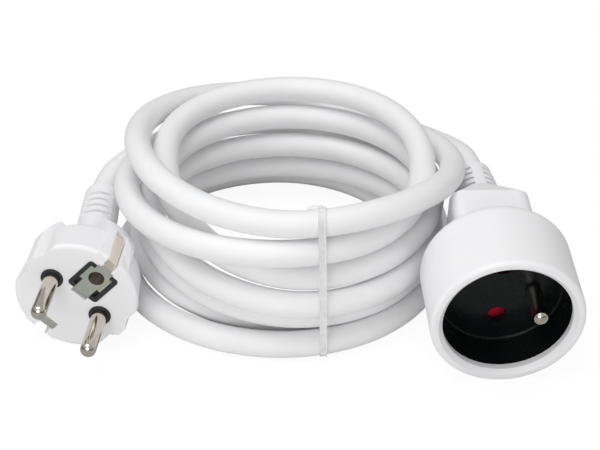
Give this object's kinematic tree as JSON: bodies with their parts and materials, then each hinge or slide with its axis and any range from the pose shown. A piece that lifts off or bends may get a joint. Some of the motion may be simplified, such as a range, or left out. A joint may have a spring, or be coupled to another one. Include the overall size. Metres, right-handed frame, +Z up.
{
  "type": "extension cord",
  "caption": "Coiled mains extension cord with an earthed moulded plug, a three-core cable tied in a coil and a shuttered earth-pin socket.",
  "frame": {"origin": "on the table under the middle of the socket", "axes": "+Z up; the socket's mouth looks towards -Y and 3.9 degrees to +X; the coil and the plug lie towards -X"},
  "size_m": [0.1724, 0.1422, 0.0562],
  "materials": {
    "white_pvc": "soft moulded PVC, satin",
    "cable_pvc": "extruded PVC sheath, satin",
    "black_insert": "hard moulded plastic, semi-gloss",
    "dark_bridge": "glass-filled plastic, matt",
    "red_shutter": "moulded, semi-gloss",
    "nickel": "nickel-plated, turned",
    "earth_strip": "plated strip",
    "contact_brass": "bright rolled strip",
    "spring_steel": "drawn wire",
    "clear_film": "clear film"
  },
  "bodies": {
    "cord_set": {"socket_housing": "white_pvc", "socket_strain_relief": "white_pvc", "socket_insert": "black_insert", "contact_carrier": "black_insert", "contact_spring_live": "contact_brass", "contact_spring_neutral": "contact_brass", "earth_pin": "nickel", "shutter_spring": "spring_steel", "plug_body": "white_pvc", "pin_bridge": "dark_bridge", "plug_pin_live": "nickel", "plug_pin_neutral": "nickel", "earth_clip": "earth_strip", "earth_sleeve": "earth_strip", "plug_strain_relief": "white_pvc", "cable_to_plug": "cable_pvc", "cable_to_socket": "cable_pvc", "cable_coil": "cable_pvc", "tie_strap": "clear_film", "tie_seam": "clear_film"},
    "shutter": {"shutter": "red_shutter"}
  },
  "joints": [
    {"name": "shutter_slide", "type": "slide", "parent": "cord_set", "child": "shutter", "axis": [-0.9968, -0.0714, 0.0349], "range_m": [0, 0.0064], "stiffness_N_per_m": 80, "springref_m": -0.002, "deforming": ["shutter_spring"]}
  ]
}
